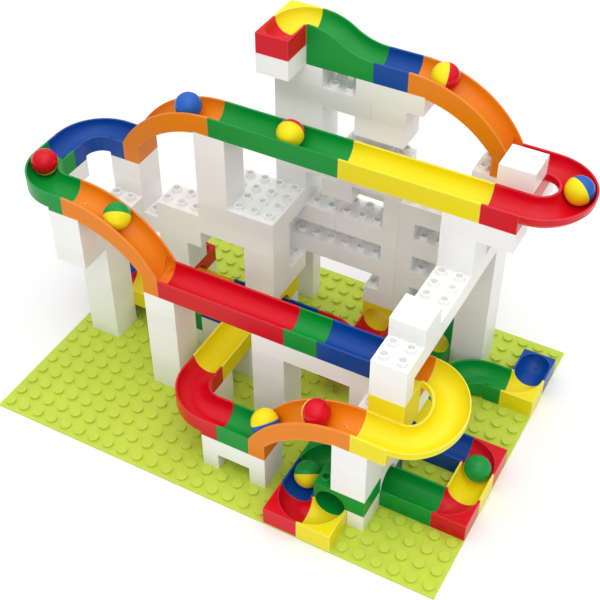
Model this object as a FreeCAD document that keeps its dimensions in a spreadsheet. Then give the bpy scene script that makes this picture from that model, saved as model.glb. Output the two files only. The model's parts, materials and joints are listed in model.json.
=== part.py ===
import FreeCAD, Part
import math
import os
import re

from FreeCAD import Placement, Rotation, Vector

# Marble run of building-brick tracks on a studded baseplate.
# Millimetres, +Z up. The origin is the middle of the baseplate's underside.
# Places are written on the brick grid: i studs from the left edge of the plate,
# j studs from its front edge, k bricks above its top face.

os.makedirs("parts", exist_ok=True)
doc = FreeCAD.newDocument("marble_run")

SIZES = {
    "pitch": 16.0,            # stud to stud
    "brick": 19.2,            # height of one brick or track
    "gap": 0.1,               # each side of a piece stands back this much from the grid
    "studRadius": 4.7,
    "studRise": 4.4,
    "studBore": 3.1,          # radius of the hole in a hollow stud
    "wall": 1.6,
    "roof": 2.0,
    "tubeRadius": 6.5,        # tube between four studs under a brick
    "tubeBore": 4.9,
    "pinRadius": 2.9,         # pin between two studs under a narrow brick
    "plateThick": 2.0,
    "plateStudRise": 3.0,
    "plateLength": 28.0,      # studs
    "plateWidth": 20.0,       # studs
    "trough": 14.0,           # radius of the half-round running channel
    "shell": 15.6,            # outer radius of the thin channel of the turns
    "rimRadius": 46.9,        # outer radius of the lip of the turns
    "rimDrop": 6.4,           # height of that lip
    "keyDepth": 4.6,          # depth of the slots that take studs under a track
    "keyRib": 2.5,            # half width of the rib between them
    "keyLift": 3.4,           # underside of a wide curve above its feet
    "archRadius": 108.8,      # rim line of an arch, level at its high end
    "archUnder": 100.9,       # underside of an arch
    "archFall": 3.0,          # bricks
    "archLong": 6.0,          # studs
    "waveRadius": 58.13,      # both bends of the wave track
    "marble": 12.5,           # radius
    "marbleSink": 1.2,        # marble centre below the rim plane
}

sheet = doc.addObject("Spreadsheet::Sheet", "Sizes")
for row, (alias, value) in enumerate(SIZES.items(), start=1):
    sheet.set("A%d" % row, alias)
    sheet.set("B%d" % row, str(value))
    sheet.setAlias("B%d" % row, alias)
doc.recompute()

WORDS = re.compile(r"\b(%s)\b" % "|".join(SIZES))


def size(alias):
    """The number in the sheet under this alias."""
    return float(sheet.get(alias))


def bound(text):
    """An expression whose words are aliases of the sheet."""
    return WORDS.sub(r"Sizes.\1", str(text))


def drive(obj, **values):
    """Bind properties of an object to the sheet."""
    for name, text in values.items():
        obj.setExpression(name, bound(text))


def put(obj, x=0, y=0, z=0, turn=None):
    """Place a primitive, its position bound to the sheet."""
    if turn is not None:
        obj.Placement = Placement(Vector(), turn)
    for axis, text in zip("xyz", (x, y, z)):
        obj.setExpression("Placement.Base." + axis, bound(text))
    return obj


ALONG_X = Rotation(Vector(0, 1, 0), 90)
ALONG_Y = Rotation(Vector(1, 0, 0), -90)
DOWNHILL = Rotation(Vector(0, 0, 1), Vector(1, 0, 0), Vector(0, 1, 0), "ZXY")


def box(x0, x1, y0, y1, z0, z1):
    obj = doc.addObject("Part::Box", "box")
    drive(obj, Length="(%s) - (%s)" % (x1, x0), Width="(%s) - (%s)" % (y1, y0),
          Height="(%s) - (%s)" % (z1, z0))
    return put(obj, x0, y0, z0)


def cylinder(radius, height, x=0, y=0, z=0, turn=None, angle=360):
    obj = doc.addObject("Part::Cylinder", "cylinder")
    drive(obj, Radius=radius, Height=height, Angle=angle)
    return put(obj, x, y, z, turn)


def torus(ring, tube, x=0, y=0, z=0, turn=None, angle=360):
    obj = doc.addObject("Part::Torus", "torus")
    drive(obj, Radius1=ring, Radius2=tube, Angle3=angle)
    return put(obj, x, y, z, turn)


def sphere(radius, x=0, y=0, z=0):
    obj = doc.addObject("Part::Sphere", "sphere")
    drive(obj, Radius=radius)
    return put(obj, x, y, z)


def joined(*shapes):
    obj = doc.addObject("Part::MultiFuse", "joined")
    obj.Shapes = list(shapes)
    obj.Refine = True
    return obj


def common(*shapes):
    obj = doc.addObject("Part::MultiCommon", "common")
    obj.Shapes = list(shapes)
    return obj


def cut(base, *tools):
    obj = doc.addObject("Part::Cut", "cut")
    obj.Base = base
    obj.Tool = tools[0] if len(tools) == 1 else joined(*tools)
    return obj


def half(studs):
    """Half the real length of a piece this many studs long."""
    return "%s * pitch / 2 - gap" % studs


def stud_places(nx, ny):
    """Stud centres of a piece of nx by ny studs, centred on the origin."""
    return [((a - (nx - 1) / 2), (b - (ny - 1) / 2)) for a in range(nx) for b in range(ny)]


def add_studs(body, places, top, depth):
    """Hollow studs on a face at height top; their bores go depth below it."""
    studs = [cylinder("studRadius", "studRise + 0.2", "%s * pitch" % a, "%s * pitch" % b,
                      "%s - 0.2" % top) for a, b in places]
    bores = [cylinder("studBore", "studRise + 1 + %s" % depth, "%s * pitch" % a, "%s * pitch" % b,
                      "%s - (%s)" % (top, depth)) for a, b in places]
    return cut(joined(body, *studs), *bores)


def brick(nx, ny, studs=True):
    """A hollow brick with tubes or pins under it, centred on the origin."""
    shell = cut(box("-(%s)" % half(nx), half(nx), "-(%s)" % half(ny), half(ny), 0, "brick"),
                box("wall - (%s)" % half(nx), "%s - wall" % half(nx),
                    "wall - (%s)" % half(ny), "%s - wall" % half(ny), -1, "brick - roof"))
    inner = []
    if min(nx, ny) > 1:
        for a, b in stud_places(nx - 1, ny - 1):
            place = ("%s * pitch" % a, "%s * pitch" % b)
            inner.append(cut(cylinder("tubeRadius", "brick - roof + 0.2", *place),
                             cylinder("tubeBore", "brick - roof", *place)))
    else:
        for a, b in stud_places(max(nx - 1, 1), max(ny - 1, 1)):
            inner.append(cylinder("pinRadius", "brick - roof + 0.2", "%s * pitch" % a, "%s * pitch" % b))
    body = joined(shell, *inner)
    if not studs:
        return body
    return add_studs(body, stud_places(nx, ny), "brick", "0.4")


def keys(x0, x1, y_mid):
    """Two slots under a track two studs wide; x0 and x1 are in studs."""
    ends = ("%s * pitch + wall" % x0, "%s * pitch - wall" % x1)
    near = box(*ends, "%s * pitch - pitch + wall" % y_mid, "%s * pitch - keyRib" % y_mid, -1, "keyDepth")
    far = box(*ends, "%s * pitch + keyRib" % y_mid, "%s * pitch + pitch - wall" % y_mid, -1, "keyDepth")
    return [near, far]


def straight(studs):
    """A straight track along X, centred on the origin."""
    block = box("-(%s)" % half(studs), half(studs), "-(%s)" % half(2), half(2), 0, "brick")
    channel = cylinder("trough", "%s * pitch" % studs, "-%s * pitch / 2" % studs, 0, "brick", ALONG_X)
    return cut(block, channel, *keys(-studs / 2, studs / 2, 0))


def corner():
    """A two by two quarter turn about the origin, open to -Y and -X."""
    block = box("gap", "2 * pitch - gap", "gap", "2 * pitch - gap", 0, "brick")
    return cut(block, torus("pitch", "trough", 0, 0, "brick"), *keys(0, 2, 1))


def bowl():
    """A two by two bowl that opens to +Y."""
    block = box("-(%s)" % half(2), half(2), "-(%s)" % half(2), half(2), 0, "brick")
    channel = cylinder("trough", "pitch", 0, 0, "brick", ALONG_Y)
    return cut(block, sphere("trough", 0, 0, "brick"), channel, *keys(-1, 1, 0))


def wide_curve():
    """A quarter turn about the origin with a foot one stud long at each end."""
    bend = cut(cylinder("3 * pitch - gap", "brick - keyLift", 0, 0, "keyLift", angle=90),
               cylinder("pitch + gap", "brick", 0, 0, 0))
    foot_a = box("pitch + gap", "3 * pitch - gap", "gap - pitch", 0, 0, "brick")
    foot_b = box("gap - pitch", 0, "pitch + gap", "3 * pitch - gap", 0, "brick")
    run_a = cylinder("trough", "pitch", "2 * pitch", "-pitch", "brick", ALONG_Y)
    run_b = cylinder("trough", "pitch", "-pitch", "2 * pitch", "brick", ALONG_X)
    slots = keys(-1, 0, 2)
    for side in (-1, 1):
        low = "2 * pitch + %s" % ("keyRib" if side > 0 else "wall - pitch")
        high = "2 * pitch %s" % ("+ pitch - wall" if side > 0 else "- keyRib")
        slots.append(box(low, high, "wall - pitch", "-wall", -1, "keyDepth"))
    return cut(joined(bend, foot_a, foot_b), torus("2 * pitch", "trough", 0, 0, "brick", angle=90),
               run_a, run_b, *slots)


def turn_block():
    """The foot of the U-turn: two straight ends and a studded middle, two studs long."""
    block = box("gap - 2 * pitch", 0, "gap - 3 * pitch", "3 * pitch - gap", 0, "brick")
    runs = [cylinder("trough", "2 * pitch", "-2 * pitch", "%s * pitch" % side, "brick", ALONG_X)
            for side in (-2, 2)]
    slots = [slot for middle in (-2, 0, 2) for slot in keys(-2, 0, middle)]
    places = [(a, b) for a in (-1.5, -0.5) for b in (-0.5, 0.5)]
    return add_studs(cut(block, *runs, *slots), places, "brick", "1")


def u_turn():
    """A level U-turn about the origin, its curved shell on the +X side."""
    quarter_back = Rotation(Vector(0, 0, 1), -90)
    lip = cylinder("rimRadius", "rimDrop", 0, 0, "brick - rimDrop", quarter_back, 180)
    shell = common(torus("2 * pitch", "shell", 0, 0, "brick", quarter_back, 180),
                   box(0, "4 * pitch", "-4 * pitch", "4 * pitch", 0, "brick"))
    bend = cut(joined(lip, shell), cylinder("pitch", "brick + 2", 0, 0, -1),
               torus("2 * pitch", "trough", 0, 0, "brick"))
    return joined(turn_block(), bend)


def arch():
    """An arch track along X that falls three bricks; z = 0 is under its high end."""
    low = "brick - archFall * brick"
    block = common(box("gap", "archLong * pitch - gap", "-(%s)" % half(2), half(2),
                       "-archFall * brick", "brick"),
                   cylinder("archRadius", "4 * pitch", 0, "-2 * pitch", "brick - archRadius", ALONG_Y))
    hollow = common(box(-1, "(archLong - 1) * pitch", "-2 * pitch", "2 * pitch",
                        "-archFall * brick - 1", 0),
                    cylinder("archUnder", "4 * pitch", 0, "-2 * pitch", "-archUnder", ALONG_Y))
    shoulder = box(-1, "pitch", "-2 * pitch", "2 * pitch", "-brick", 0)
    floor_end = math.sqrt((size("archRadius") - size("trough")) ** 2
                          - (size("archRadius") - size("archFall") * size("brick") - size("trough")) ** 2)
    floor_turn = math.degrees(math.asin(floor_end / (size("archRadius") - size("trough"))))
    channel = torus("archRadius", "trough", 0, 0, "brick - archRadius", DOWNHILL, floor_turn)
    run_out = cylinder("trough", "archLong * pitch - %s" % floor_end, floor_end, 0, low, ALONG_X)
    slots = keys(0, 1, 0)
    for slot in keys(5, 6, 0):
        slot.setExpression("Placement.Base.z", bound("-archFall * brick - 1"))
        slots.append(slot)
    return cut(cut(block, hollow, shoulder), channel, run_out, *slots)


def wave():
    """A wave track along X, four studs long, two bricks high at x = 0 and one at its end."""
    pitch, tall, bend = size("pitch"), size("brick"), size("waveRadius")
    side, edge, end = pitch - size("gap"), size("gap"), 4 * pitch
    half_turn = math.asin(2 * pitch / bend) / 2
    crest_mid = Vector(bend * math.sin(half_turn), 0, 2 * tall - bend * (1 - math.cos(half_turn)))
    dip_mid = Vector(end - crest_mid.x, 0, 3 * tall - crest_mid.z)
    middle = Vector(2 * pitch, 0, 1.5 * tall)
    rim = [Part.Arc(Vector(0, 0, 2 * tall), crest_mid, middle).toShape(),
           Part.Arc(middle, dip_mid, Vector(end, 0, tall)).toShape()]
    corners = [Vector(end, 0, tall), Vector(end, 0, 0), Vector(0, 0, 0), Vector(0, 0, 2 * tall)]
    outline = Part.Wire(rim + [Part.LineSegment(a, b).toShape() for a, b in zip(corners, corners[1:])])
    block = Part.Face(outline).extrude(Vector(0, 4 * pitch, 0))
    block.translate(Vector(0, -2 * pitch, 0))
    block = block.common(Part.makeBox(end - 2 * edge, 2 * side, 3 * tall, Vector(edge, -side, 0)))
    mouth = Part.Wire([Part.Circle(Vector(0, 0, 2 * tall), Vector(1, 0, 0), size("trough")).toShape()])
    block = block.cut(Part.Wire(rim).makePipeShell([mouth], True, False))
    for low in (-pitch + size("wall"), size("keyRib")):
        block = block.cut(Part.makeBox(end - 2 * size("wall"), pitch - size("wall") - size("keyRib"),
                                       size("keyDepth") + 1, Vector(size("wall"), low, -1)))
    feature = doc.addObject("Part::Feature", "wave")
    feature.Shape = block
    return feature


def tunnel():
    """A three by two block bridging a track along X, with a studded ledge on its +Y side."""
    block = box("-(%s)" % half(2), half(2), "gap - pitch", "2 * pitch - gap", 0, "brick")
    bore = cylinder("trough", "4 * pitch", "-2 * pitch", 0, 0, ALONG_X)
    slot = box("wall - pitch", "pitch - wall", "pitch + wall", "2 * pitch - wall", -1, "keyDepth")
    places = [(a, b) for a in (-0.5, 0.5) for b in (-0.5, 0.5, 1.5)]
    return add_studs(cut(block, bore, slot), places, "brick", "1")


def tall_tunnel():
    """A two by two block two bricks high that bridges a track along X."""
    block = box("-(%s)" % half(2), half(2), "-(%s)" % half(2), half(2), 0, "2 * brick")
    bore = cylinder("trough", "4 * pitch", "-2 * pitch", 0, 0, ALONG_X)
    return add_studs(cut(block, bore), stud_places(2, 2), "2 * brick", "1")


def ramp_section(angle, height, channel):
    """One upright section of the falling U-turn, at an angle about the origin."""
    ring, tube = 2 * size("pitch"), size("trough") if channel else size("shell")
    if channel:
        circle = Part.Circle(Vector(ring, 0, height), Vector(0, 1, 0), tube)
        wire = Part.Wire([circle.toShape()])
    else:
        drop = height - size("rimDrop")
        reach = math.sqrt(tube ** 2 - size("rimDrop") ** 2)
        inner, outer = size("pitch"), size("rimRadius")
        points = [Vector(ring - reach, 0, drop), Vector(inner, 0, drop), Vector(inner, 0, height),
                  Vector(outer, 0, height), Vector(outer, 0, drop), Vector(ring + reach, 0, drop)]
        edges = [Part.LineSegment(a, b).toShape() for a, b in zip(points, points[1:])]
        belly = Part.Arc(points[-1], Vector(ring, 0, height - tube), points[0])
        wire = Part.Wire(edges + [belly.toShape()])
    wire.rotate(Vector(), Vector(0, 0, 1), angle)
    return wire


def ramp_turn():
    """A U-turn that falls one brick, from +Y to -Y; z = 0 is under its low foot."""
    steps = 12
    outside, inside = [], []
    for step in range(steps + 1):
        share = step / steps
        height = size("brick") * (1 + share ** 2 * (3 - 2 * share))
        outside.append(ramp_section(180 * share - 90, height, False))
        inside.append(ramp_section(180 * share - 90, height, True))
    bend = Part.makeLoft(outside, True, False).cut(Part.makeLoft(inside, True, False))
    pitch, tall, edge = size("pitch"), size("brick"), size("gap")
    foot = Part.makeBox(2 * pitch - edge, 2 * pitch - edge, tall, Vector(edge - 2 * pitch, edge - 3 * pitch, 0))
    run = Part.makeCylinder(size("trough"), 2 * pitch, Vector(-2 * pitch, -2 * pitch, tall), Vector(1, 0, 0))
    middle = Part.makeBox(2 * pitch - edge, 2 * pitch - edge, 2 * tall, Vector(edge - 2 * pitch, -pitch, 0))
    solid = bend.fuse([foot.cut(run), middle])
    for middle_y in (-2, 0):
        for side in (-1, 1):
            low = min(side * size("keyRib"), side * (pitch - size("wall")))
            slot = Part.makeBox(2 * (pitch - size("wall")), pitch - size("wall") - size("keyRib"),
                                size("keyDepth") + 1,
                                Vector(size("wall") - 2 * pitch, middle_y * pitch + low, -1))
            solid = solid.cut(slot)
    for a in (-1.5, -0.5):
        for b in (-0.5, 0.5):
            at = Vector(a * pitch, b * pitch, 2 * tall - 0.2)
            stud = Part.makeCylinder(size("studRadius"), size("studRise") + 0.2, at)
            solid = solid.fuse(stud).cut(Part.makeCylinder(size("studBore"), 9, at))
    feature = doc.addObject("Part::Feature", "ramp_turn")
    feature.Shape = solid.removeSplitter()
    return feature


def baseplate():
    """A thin plate with a field of solid studs."""
    pitch, long, wide = size("pitch"), int(size("plateLength")), int(size("plateWidth"))
    thick = size("plateThick")
    plate = Part.makeBox(long * pitch, wide * pitch, thick, Vector(-long * pitch / 2, -wide * pitch / 2, 0))
    studs = [Part.makeCylinder(size("studRadius"), size("plateStudRise") + 1,
                               Vector(a * pitch, b * pitch, thick - 1)) for a, b in stud_places(long, wide)]
    feature = doc.addObject("Part::Feature", "plate")
    feature.Shape = plate.multiFuse(studs)
    return feature


def grid(i, j, k, turn=0):
    """A place on the brick grid, turned about the vertical."""
    return Placement(Vector((i - size("plateLength") / 2) * size("pitch"),
                             (j - size("plateWidth") / 2) * size("pitch"),
                             size("plateThick") + k * size("brick")),
                     Rotation(Vector(0, 0, 1), turn))


def node(label, master, places):
    """One named node: the same piece at each of its places."""
    links = []
    for place in places:
        link = doc.addObject("App::Link", label + "_piece")
        link.LinkedObject = master
        link.LinkPlacement = grid(*place)
        links.append(link)
    group = doc.addObject("Part::Compound", label)
    group.Links = links
    group.Label = label
    nodes.append(group)


nodes = []

# ---------------------------------------------------------------- baseplate
node("baseplate", baseplate(), [(14, 10, -size("plateThick") / size("brick"))])

# ------------------------------------------------------------------- tracks
long_straight = straight(8)
node("yellow_long_track", long_straight, [(20, 13, 12)])
node("green_long_track", long_straight, [(12, 13, 12)])
node("red_long_track", long_straight, [(12, 7, 6)])
node("green_ground_track", straight(6), [(23, 5, 0)])

medium_straight = straight(4)
node("blue_medium_track", medium_straight, [(20, 7, 6)])
node("yellow_medium_tracks", medium_straight, [(11, 8, 2, 90), (4, 11, 1)])

short_straight = straight(2)
node("blue_short_tracks", short_straight,
     [(17, 17, 15), (9, 13, 1), (11, 13, 1), (13, 13, 1), (19, 3, 0, 90), (9, 11, 2), (25, 9, 0)])
node("green_short_tracks", short_straight,
     [(17, 7, 6), (15, 3, 2), (7, 11, 1), (21, 3, 0, 90), (21, 15, 0, 90), (19, 19, 0)])
node("yellow_short_tracks", short_straight,
     [(3, 13, 1), (5, 13, 1), (7, 13, 1), (27, 7, 0, 90), (23, 11, 0, 90), (17, 17, 0, 90), (21, 17, 0, 90)])
node("orange_short_track", short_straight, [(23, 7, 6)])
node("red_short_track", short_straight, [(17, 15, 0, 90)])

quarter = corner()
node("yellow_corner_tracks", quarter,
     [(12, 16, 16, 90), (26, 16, 0, -90), (20, 2, 0, -90), (10, 10, 2, 0)])
node("red_corner_tracks", quarter,
     [(2, 12, 1, 180), (26, 8, 0, 0), (26, 6, 0, -90), (20, 2, 0, 180), (18, 18, 0, 90)])
node("blue_corner_tracks", quarter, [(2, 12, 1, 90), (24, 10, 0, 180), (20, 18, 0, 0)])
node("green_corner_track", quarter, [(20, 4, 0, 90)])

end_bowl = bowl()
node("red_bowls", end_bowl, [(11, 15, 16), (21, 13, 0)])
node("finish_bowl", end_bowl, [(27, 17, 0, 180)])

node("wave_track", wave(), [(12, 17, 15)])

arch_track = arch()
node("top_arch_track", arch_track, [(18, 17, 15)])
node("middle_arch_track", arch_track, [(8, 13, 12, 180)])
node("left_arch_track", arch_track, [(2, 7, 9)])
node("front_arch_track", arch_track, [(22, 3, 5, 180)])

wide = wide_curve()
node("blue_wide_curve", wide, [(1, 11, 9, 90)])
node("green_wide_curve", wide, [(1, 9, 9, 180)])
node("red_front_curve", wide, [(13, 5, 2, 180)])
node("red_back_curve", wide, [(15, 11, 1, 0)])
node("green_ground_curve", wide, [(25, 13, 0, 90)])

node("red_u_turn", u_turn(), [(26, 15, 12)])
node("yellow_falling_turn", ramp_turn(), [(24, 5, 5)])

bridge_block = tunnel()
node("red_tunnel_block", bridge_block, [(5, 13, 2)])
node("yellow_tunnel_blocks", bridge_block, [(11, 13, 2), (17, 17, 1, -90)])
node("green_tunnel_block", bridge_block, [(21, 3, 1, -90)])
node("white_tunnel_block", bridge_block, [(22, 5, 1)])
node("green_tall_tunnel", tall_tunnel(), [(21, 17, 1, 90)])


def stack(i, j, low, high, turn=0):
    """Places of bricks stacked from level low up to level high."""
    return [(i, j, k, turn) for k in range(low, high)]


def layered(label, master, places):
    """Two nodes, of the even and of the odd levels, so that no two pieces of a node touch."""
    for rest, name in enumerate(("even", "odd")):
        node("%s_%s" % (label, name), master, [place for place in places if place[2] % 2 == rest])


# ----------------------------------------------------------- white structure
square = brick(2, 2)
layered("left_bricks", square,
        stack(2, 9, 0, 6) + stack(2, 7, 7, 9) + stack(2, 13, 6, 9) + stack(5, 13, 3, 5)
        + stack(11, 13, 3, 6) + stack(11, 15, 3, 4) + stack(8, 13, 8, 12) + stack(9, 11, 0, 2)
        + [(1, 12, 0), (8, 13, 0), (14, 13, 0)])
layered("right_bricks", square,
        stack(23, 17, 0, 11) + stack(23, 13, 9, 11) + stack(8, 7, 0, 6) + stack(15, 7, 0, 5)
        + stack(21, 7, 2, 5) + stack(11, 6, 0, 2) + stack(11, 10, 0, 2) + stack(22, 3, 2, 5)
        + stack(22, 5, 2, 5) + stack(11, 17, 7, 9)
        + [(10, 17, 5), (11, 17, 13), (17, 17, 13)])
node("overhang_bricks", square, [(-1, 10, 8), (14, 17, 8)])

layered("three_stud_bricks", brick(3, 2),
        stack(11.5, 17, 9, 13) + [(11.5, 17, 14), (16.5, 17, 12), (8.5, 13, 7), (8.5, 15, 7)])

beam = brick(4, 2)
layered("beams", beam,
        [(i, 17, k) for k in (4, 6) for i in (12, 16, 20)] + stack(16, 17, 9, 11)
        + [(6, 11, 0), (6, 13, 6), (10, 13, 6), (11, 14, 7, 90), (20, 17, 8), (14, 17, 13),
           (11, 16, 15, 90), (23, 10, 8, 90), (23, 14, 8, 90), (24, 13, 11), (24, 17, 11)])
node("bridge_beams", beam, [(15, 3, 1), (22, 7, 5), (17, 17, 14), (18, 17, 2), (23, 6, 8, 90)])
node("long_beams", brick(6, 2), [(2, 9, 6, 90), (4, 13, 5), (17, 7, 5)])

narrow = brick(2, 1)
layered("narrow_bricks", narrow,
        stack(11, 17.5, 0, 4) + stack(5, 14.5, 0, 2) + stack(11, 14.5, 0, 2) + stack(20.5, 7, 0, 2, 90)
        + [(i, 17, k, 90) for k in (3, 5, 7) for i in (17.5, 18.5)]
        + [(16, 17.5, 11), (16, 17.5, 8), (17.5, 17, 8, 90), (23, 4.5, 7), (13.5, 3, 0, 90), (16.5, 3, 0, 90),
           (22.5, 3, 0, 90), (18.5, 17, 0, 90)])
node("blue_narrow_brick", narrow, [(22, 6.5, 0)])
node("smooth_top_blocks", brick(2, 2, studs=False), [(25, 15, 13), (23, 7, 9)])


# ------------------------------------------------------------------ marbles
def marble(label, i, j, k):
    """A marble whose rim plane is at level k."""
    ball = doc.addObject("Part::Sphere", "marble")
    drive(ball, Radius="marble")
    ball.Placement = grid(i, j, k - size("marbleSink") / size("brick"))
    ball.Label = label
    nodes.append(ball)


def arch_marble(label, i_high, j, k_high, side, turn):
    """A marble part way down an arch that falls to +X (side 1) or -X (side -1)."""
    reach = size("archRadius") - size("marbleSink")
    away = side * reach * math.sin(math.radians(turn)) / size("pitch")
    drop = (size("archRadius") - reach * math.cos(math.radians(turn)) - size("marbleSink")) / size("brick")
    marble(label, i_high + away, j, k_high - drop)


arch_marble("top_arch_marble", 18, 17, 16, 1, 14.2)
arch_marble("middle_arch_marble", 8, 13, 13, -1, 15.9)
arch_marble("left_arch_marble", 2, 7, 10, 1, 26.6)
arch_marble("front_arch_marble", 22, 3, 6, -1, 20.9)
arch_marble("front_low_marble", 22, 3, 6, -1, 54.7)
marble("u_turn_marble", 26 + 2 * math.cos(math.radians(15.2)), 15 + 2 * math.sin(math.radians(15.2)), 13)
marble("wide_curve_marble", 1 - 2 * math.cos(math.radians(17.2)), 9 - 2 * math.sin(math.radians(17.2)), 10)
marble("long_track_marble", 12.65, 13, 13)
marble("front_corner_marble", 19, 3.26, 1)
marble("right_corner_marble", 27, 8, 1)

doc.recompute()

for obj in doc.Objects:
    if "Invalid" in obj.State or "Error" in obj.State:
        raise RuntimeError("failed: %s %s" % (obj.Name, obj.State))
for obj in nodes:
    if obj.Shape.isNull() or not obj.Shape.isValid() or not obj.Shape.Solids:
        raise RuntimeError("bad shape: " + obj.Label)
for obj in nodes:
    obj.Shape.exportStep(os.path.join("parts", obj.Label + ".step"))
print(len(nodes), "nodes,", sum(len(obj.Shape.Solids) for obj in nodes), "solids")
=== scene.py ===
import json
import math

import bpy
from mathutils import Matrix, Vector


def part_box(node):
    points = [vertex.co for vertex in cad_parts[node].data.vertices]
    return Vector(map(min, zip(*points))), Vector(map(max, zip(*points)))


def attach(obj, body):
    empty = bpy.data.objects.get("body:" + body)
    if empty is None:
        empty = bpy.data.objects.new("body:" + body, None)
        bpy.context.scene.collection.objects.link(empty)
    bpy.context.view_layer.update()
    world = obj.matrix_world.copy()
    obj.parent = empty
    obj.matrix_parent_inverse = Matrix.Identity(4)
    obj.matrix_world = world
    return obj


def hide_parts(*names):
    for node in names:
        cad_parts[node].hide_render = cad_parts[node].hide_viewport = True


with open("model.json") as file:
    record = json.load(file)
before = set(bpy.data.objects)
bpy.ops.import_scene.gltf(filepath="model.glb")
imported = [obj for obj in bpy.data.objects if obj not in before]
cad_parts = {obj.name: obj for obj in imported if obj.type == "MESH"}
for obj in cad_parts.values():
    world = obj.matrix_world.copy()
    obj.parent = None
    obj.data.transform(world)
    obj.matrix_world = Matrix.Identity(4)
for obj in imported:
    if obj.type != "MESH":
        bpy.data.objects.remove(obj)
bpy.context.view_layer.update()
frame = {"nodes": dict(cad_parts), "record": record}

# A marble run of moulded plastic bricks and tracks, in metres, in the CAD frame.
# Each CAD piece keeps its mesh and gets rounded edges and a moulded plastic;
# each marble is a new ball of two half shells that rides on the marble's body.

MM = 0.001
nodes = frame["nodes"]
slot_of = {part["node"]: part["material_slot"] for part in frame["record"]["subparts"]}


def srgb(red, green, blue):
    """A linear colour from the usual 0 to 255 values."""
    def linear(value):
        value /= 255
        return value / 12.92 if value <= 0.04045 else ((value + 0.055) / 1.055) ** 2.4
    return (linear(red), linear(green), linear(blue), 1.0)


# ---- Materials ----

class Graph:
    """Short calls for a material's node tree."""

    def __init__(self, name):
        self.material = bpy.data.materials.new(name)
        self.material.use_nodes = True
        self.tree = self.material.node_tree
        self.shader = self.tree.nodes["Principled BSDF"]
        self.place = self.add("ShaderNodeTexCoord").outputs["Object"]

    def add(self, kind, **settings):
        node = self.tree.nodes.new(kind)
        for name, value in settings.items():
            setattr(node, name, value)
        return node

    def link(self, source, target):
        self.tree.links.new(source, target)

    def noise(self, scale, detail=2.0, roughness=0.5):
        """Noise over the object; scale is in features per metre."""
        node = self.add("ShaderNodeTexNoise")
        node.inputs["Scale"].default_value = scale
        node.inputs["Detail"].default_value = detail
        node.inputs["Roughness"].default_value = roughness
        self.link(self.place, node.inputs["Vector"])
        return node.outputs["Fac"]

    def spread(self, source, low, high, start=0.3, end=0.7):
        """A value from low to high as the source goes from start to end."""
        node = self.add("ShaderNodeMapRange")
        node.inputs["From Min"].default_value = start
        node.inputs["From Max"].default_value = end
        node.inputs["To Min"].default_value = low
        node.inputs["To Max"].default_value = high
        self.link(source, node.inputs["Value"])
        return node.outputs["Result"]

    def maths(self, operation, first, second):
        node = self.add("ShaderNodeMath", operation=operation)
        for source, target in zip((first, second), node.inputs):
            if isinstance(source, float):
                target.default_value = source
            else:
                self.link(source, target)
        return node.outputs["Value"]

    def mix(self, factor, first, second):
        """Blend of two colours; each is a colour or an output."""
        node = self.add("ShaderNodeMix", data_type="RGBA")
        self.link(factor, node.inputs["Factor"])
        for source, target in zip((first, second), (node.inputs["A"], node.inputs["B"])):
            colour_input = [i for i in node.inputs if i.name == target.name and i.type == "RGBA"][0]
            if isinstance(source, tuple):
                colour_input.default_value = source
            else:
                self.link(source, colour_input)
        return [o for o in node.outputs if o.type == "RGBA"][0]

    def edges(self, reach):
        """1 on rounded or sharp edges, 0 on the flats; the limits are cosines of the normal's turn."""
        bevel = self.add("ShaderNodeBevel", samples=4)
        bevel.inputs["Radius"].default_value = reach
        turned = self.add("ShaderNodeVectorMath", operation="DOT_PRODUCT")
        self.link(bevel.outputs["Normal"], turned.inputs[0])
        self.link(self.add("ShaderNodeNewGeometry").outputs["True Normal"], turned.inputs[1])
        return self.spread(turned.outputs["Value"], 1.0, 0.0, 0.86, 0.995)


def shade(colour, gain, grey=0.0):
    """The colour made lighter or darker, and moved towards its own grey."""
    middle = sum(colour[:3]) / 3
    return tuple(min(1.0, (c + (middle - c) * grey) * gain) for c in colour[:3]) + (1.0,)


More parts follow.
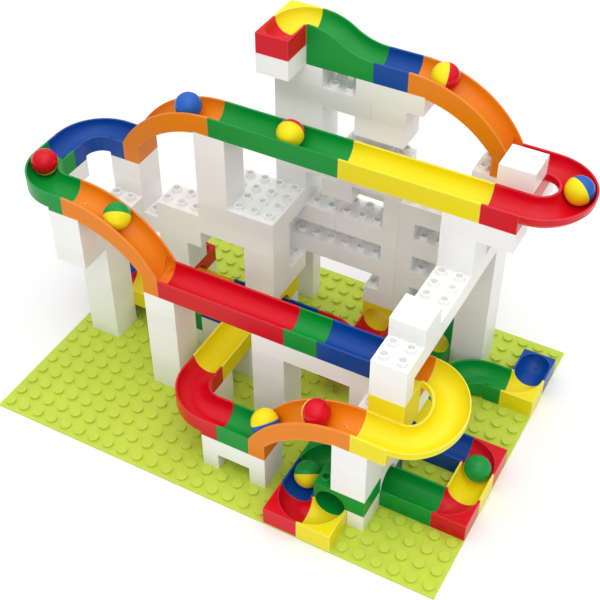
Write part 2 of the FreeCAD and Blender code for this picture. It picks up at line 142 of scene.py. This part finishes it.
def plastic(name, colour, gloss=0.28, island=True, rim_highlight_strength=0.9):
    """Injection-moulded plastic: tint that differs from piece to piece, flow marks,
    a painted highlight that makes the edges paler and a little rougher, a fine moulded grain and
    polished and dull patches."""
    g = Graph(name)
    flow = g.spread(g.noise(14.0, 3.0), 0.0, 1.0)
    tint = g.mix(flow, shade(colour, 0.96), shade(colour, 1.03, 0.02))
    if island:
        batch = g.add("ShaderNodeNewGeometry").outputs["Random Per Island"]
        dim = g.mix(batch, shade(colour, 0.93), shade(colour, 1.05, 0.03))
        half_way = g.spread(flow, 0.35, 0.65, 0.0, 1.0)
        tint = g.mix(half_way, tint, dim)
    speck = g.spread(g.noise(1600.0, 2.0), 0.0, 0.05, 0.45, 0.75)
    tint = g.mix(speck, tint, shade(colour, 0.85))
    # Painted highlight: a paler colour is painted along the edges where the rims catch the light; the
    # same mask also roughens the edges a little.
    rim_highlight = g.maths("MULTIPLY", g.edges(1.3 * MM), g.spread(g.noise(260.0, 4.0, 0.65), 0.5, rim_highlight_strength))
    tint = g.mix(rim_highlight, tint, shade(colour, 1.4, 0.35))
    g.link(tint, g.shader.inputs["Base Color"])

    handled = g.spread(g.noise(30.0, 1.0), gloss - 0.03, gloss + 0.05, 0.0, 1.0)
    scuffed = g.maths("ADD", handled, g.maths("MULTIPLY", rim_highlight, 0.25))
    g.link(scuffed, g.shader.inputs["Roughness"])

    grain = g.add("ShaderNodeBump")
    grain.inputs["Strength"].default_value = 0.05
    grain.inputs["Distance"].default_value = 0.05 * MM
    g.link(g.noise(2400.0, 2.0), grain.inputs["Height"])
    sink = g.add("ShaderNodeBump")
    sink.inputs["Strength"].default_value = 0.05
    sink.inputs["Distance"].default_value = 0.4 * MM
    g.link(g.noise(40.0, 1.0), sink.inputs["Height"])
    g.link(grain.outputs["Normal"], sink.inputs["Normal"])
    g.link(sink.outputs["Normal"], g.shader.inputs["Normal"])

    g.shader.inputs["IOR"].default_value = 1.5
    g.shader.inputs["Specular IOR Level"].default_value = 0.2
    g.shader.inputs["Coat Weight"].default_value = 0.05
    g.shader.inputs["Coat Roughness"].default_value = 0.14
    return g.material


RED = srgb(216, 0, 28)
YELLOW = srgb(244, 226, 6)
BLUE = srgb(6, 72, 160)
GREEN = srgb(4, 150, 56)
ORANGE = srgb(236, 132, 0)
LIME = srgb(196, 216, 70)
WHITE = srgb(250, 250, 248)
SHELL_BLUE = srgb(38, 98, 190)
SHELL_GREEN = srgb(24, 150, 66)

PLASTICS = {
    "lime_plate": plastic("lime_plate", LIME, gloss=0.36, island=False, rim_highlight_strength=0.4),
    "red_plastic": plastic("red_plastic", RED),
    "yellow_plastic": plastic("yellow_plastic", YELLOW),
    "blue_plastic": plastic("blue_plastic", BLUE),
    "green_plastic": plastic("green_plastic", GREEN),
    "orange_plastic": plastic("orange_plastic", ORANGE),
    "white_plastic": plastic("white_plastic", WHITE, gloss=0.30, rim_highlight_strength=0.4),
}


def shell_plastic(name, colour):
    """The glossier plastic of a marble's half shell."""
    return plastic(name, colour, gloss=0.18, island=False, rim_highlight_strength=0.5)


SHELLS = {
    "yellow": shell_plastic("yellow_shell", YELLOW),
    "red": shell_plastic("red_shell", RED),
    "blue": shell_plastic("blue_shell", SHELL_BLUE),
    "green": shell_plastic("green_shell", SHELL_GREEN),
}


# ---- CAD pieces ----

EDGE = 0.3 * MM
SEAM_WELD = 0.01 * MM
SHARP = math.radians(35)
marble_nodes = [name for name in nodes if name.endswith("_marble")]


def finish_piece(name):
    """Rounded edges and plastic for one CAD node; its own mesh stays as it is."""
    piece = nodes[name]
    piece.data.materials.clear()
    piece.data.materials.append(PLASTICS[slot_of[name]])
    if "custom_normal" in piece.data.attributes:
        piece.data.attributes.remove(piece.data.attributes["custom_normal"])
    piece.data.polygons.foreach_set("use_smooth", [True] * len(piece.data.polygons))
    weld = piece.modifiers.new("weld", "WELD")
    weld.merge_threshold = SEAM_WELD
    bevel = piece.modifiers.new("bevel", "BEVEL")
    bevel.width = EDGE
    bevel.segments = 2
    bevel.limit_method = "ANGLE"
    bevel.angle_limit = SHARP
    bevel.harden_normals = True


for name in nodes:
    if name not in marble_nodes:
        finish_piece(name)


# ---- Camera ----

AZIMUTH = math.radians(28.58)
ELEVATION = math.radians(42.62)
ROLL = -0.0023
CAMERA_PLACE = (0.3859, -0.6834, 0.8266)
LENS_MM = 70.33
SENSOR_MM = 36.0
back = Vector((math.sin(AZIMUTH) * math.cos(ELEVATION),
               -math.cos(AZIMUTH) * math.cos(ELEVATION),
               math.sin(ELEVATION)))
right = Vector((math.cos(AZIMUTH), math.sin(AZIMUTH), 0.0))
up = back.cross(right)
camera = bpy.data.objects.new("camera", bpy.data.cameras.new("camera"))
camera.data.lens = LENS_MM
camera.data.sensor_width = SENSOR_MM
camera.data.clip_start = 0.01
camera.data.clip_end = 50.0
camera.matrix_world = (Matrix.Translation(CAMERA_PLACE)
                       @ Matrix((right, up, back)).transposed().to_4x4()
                       @ Matrix.Rotation(ROLL, 4, "Z"))
bpy.context.scene.collection.objects.link(camera)
bpy.context.scene.camera = camera


# ---- Marbles ----

SEAM_HALF_WIDTH = math.radians(1.3)
SEAM_DEPTH = 0.22 * MM
GATE_RADIUS = math.radians(4.0)
GATE_DEPTH = 0.12 * MM
AROUND = 72


def marble_rings():
    """Latitudes from pole to pole, close together at the seam and at each gate mark."""
    quarter = [math.radians(a) for a in (1.5, 3.0, 4.0, 5.0, 8.0)]
    quarter += [math.radians(8.0 + 4.0 * step) for step in range(1, 20)]
    seam = [math.pi / 2 - SEAM_HALF_WIDTH * share for share in (1.6, 1.0, 0.5)]
    north = quarter + seam
    return north + [math.pi / 2] + [math.pi - angle for angle in reversed(north)]


def marble_radius(angle, radius):
    """The ball's radius at an angle from its pole, less the seam and the gate marks."""
    seam = max(0.0, 1.0 - abs(angle - math.pi / 2) / SEAM_HALF_WIDTH)
    pole = min(angle, math.pi - angle)
    gate = max(0.0, 1.0 - pole / GATE_RADIUS)
    return radius - SEAM_DEPTH * math.sin(seam * math.pi / 2) - GATE_DEPTH * min(1.0, 3.0 * gate)


def marble(node, first, second, normal):
    """A ball of two half shells; the first is on the side that the normal points to."""
    low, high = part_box(node)
    centre = (Vector(low) + Vector(high)) / 2
    radius = (high[2] - low[2]) / 2
    axis = (right * normal[0] + up * normal[1] + back * normal[2]).normalized()
    turn = axis.to_track_quat("Z", "Y")
    rings = marble_rings()
    points = [Vector((0, 0, marble_radius(0.0, radius)))]
    for angle in rings:
        reach = marble_radius(angle, radius)
        for step in range(AROUND):
            spin = 2 * math.pi * step / AROUND
            points.append(Vector((reach * math.sin(angle) * math.cos(spin),
                                  reach * math.sin(angle) * math.sin(spin),
                                  reach * math.cos(angle))))
    points.append(Vector((0, 0, -marble_radius(0.0, radius))))
    faces = []
    last = len(points) - 1
    for step in range(AROUND):
        after = (step + 1) % AROUND
        faces.append((0, 1 + step, 1 + after))
        for ring in range(len(rings) - 1):
            a, b = 1 + ring * AROUND, 1 + (ring + 1) * AROUND
            faces.append((a + step, b + step, b + after, a + after))
        end = 1 + (len(rings) - 1) * AROUND
        faces.append((end + step, last, end + after))
    mesh = bpy.data.meshes.new(node.replace("_marble", "_ball"))
    mesh.from_pydata([turn @ p for p in points], [], faces)
    mesh.materials.append(SHELLS[first])
    mesh.materials.append(SHELLS[second])
    for face in mesh.polygons:
        face.material_index = 0 if face.center.dot(axis) > 0 else 1
        face.use_smooth = True
    piece = bpy.data.objects.new(mesh.name, mesh)
    piece.location = centre
    bpy.context.scene.collection.objects.link(piece)
    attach(piece, node)
    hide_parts(node)


# Each seam's normal is along the camera's right, up and back.
marble("top_arch_marble", "red", "yellow", (0.97, -0.2, -0.1))
marble("u_turn_marble", "blue", "yellow", (0.85, 0.5, -0.15))
marble("long_track_marble", "red", "yellow", (0.3, 0.63, -0.71))
marble("middle_arch_marble", "blue", "yellow", (0.1, 0.2, 0.97))
marble("wide_curve_marble", "red", "yellow", (-0.1, 0.25, 0.96))
marble("left_arch_marble", "green", "yellow", (0.0, 0.97, -0.25))
marble("front_arch_marble", "red", "yellow", (0.37, 0.0, 0.93))
marble("front_low_marble", "yellow", "blue", (-0.3, 0.95, 0.05))
marble("front_corner_marble", "green", "yellow", (0.0, 0.99, -0.12))
marble("right_corner_marble", "green", "yellow", (0.1, 0.3, 0.95))


# ---- Floor and light ----

FLOOR_REACH = 6.0
FLOOR_SIDES = 64
MIDDLE = (0.0, 0.0, 0.12)


def floor_sheet():
    """A round pale floor that the baseplate stands on."""
    turns = [2 * math.pi * side / FLOOR_SIDES for side in range(FLOOR_SIDES)]
    ring = [(FLOOR_REACH * math.cos(turn), FLOOR_REACH * math.sin(turn), 0.0) for turn in turns]
    mesh = bpy.data.meshes.new("floor")
    mesh.from_pydata(ring, [], [tuple(range(FLOOR_SIDES))])
    floor = bpy.data.objects.new("floor", mesh)
    bpy.context.scene.collection.objects.link(floor)
    g = Graph("floor_paper")
    g.link(g.mix(g.spread(g.noise(3.0), 0.0, 1.0), (0.95, 0.95, 0.95, 1.0), (0.93, 0.93, 0.93, 1.0)),
           g.shader.inputs["Base Color"])
    g.shader.inputs["Roughness"].default_value = 0.75
    mesh.materials.append(g.material)


def soft_box(name, place, target, width, height, watts):
    """A rectangular studio light that faces the target."""
    light = bpy.data.lights.new(name, "AREA")
    light.shape = "RECTANGLE"
    light.size = width
    light.size_y = height
    light.energy = watts
    lamp = bpy.data.objects.new(name, light)
    lamp.location = place
    lamp.rotation_mode = "QUATERNION"
    lamp.rotation_quaternion = (Vector(target) - Vector(place)).to_track_quat("-Z", "Y")
    bpy.context.scene.collection.objects.link(lamp)


def studio_world(horizon, zenith):
    """A white surround that grows brighter from the horizon to straight above."""
    world = bpy.data.worlds.new("studio")
    world.use_nodes = True
    shader_nodes, links = world.node_tree.nodes, world.node_tree.links
    split = shader_nodes.new("ShaderNodeSeparateXYZ")
    level = shader_nodes.new("ShaderNodeMapRange")
    level.inputs["From Min"].default_value = 0.0
    level.inputs["From Max"].default_value = 1.0
    level.inputs["To Min"].default_value = horizon
    level.inputs["To Max"].default_value = zenith
    links.new(shader_nodes.new("ShaderNodeTexCoord").outputs["Generated"], split.inputs["Vector"])
    links.new(split.outputs["Z"], level.inputs["Value"])
    links.new(level.outputs["Result"], shader_nodes["Background"].inputs["Strength"])
    shader_nodes["Background"].inputs["Color"].default_value = (1.0, 1.0, 1.0, 1.0)
    return world


floor_sheet()
soft_box("overhead", place=(0.25, -0.1, 1.7), target=MIDDLE, width=1.5, height=1.2, watts=5.5)
soft_box("front_fill", place=back * 1.7, target=MIDDLE, width=1.4, height=1.0, watts=3.5)
bpy.context.scene.world = studio_world(horizon=0.15, zenith=1.4)
bpy.context.scene.view_settings.view_transform = "Standard"
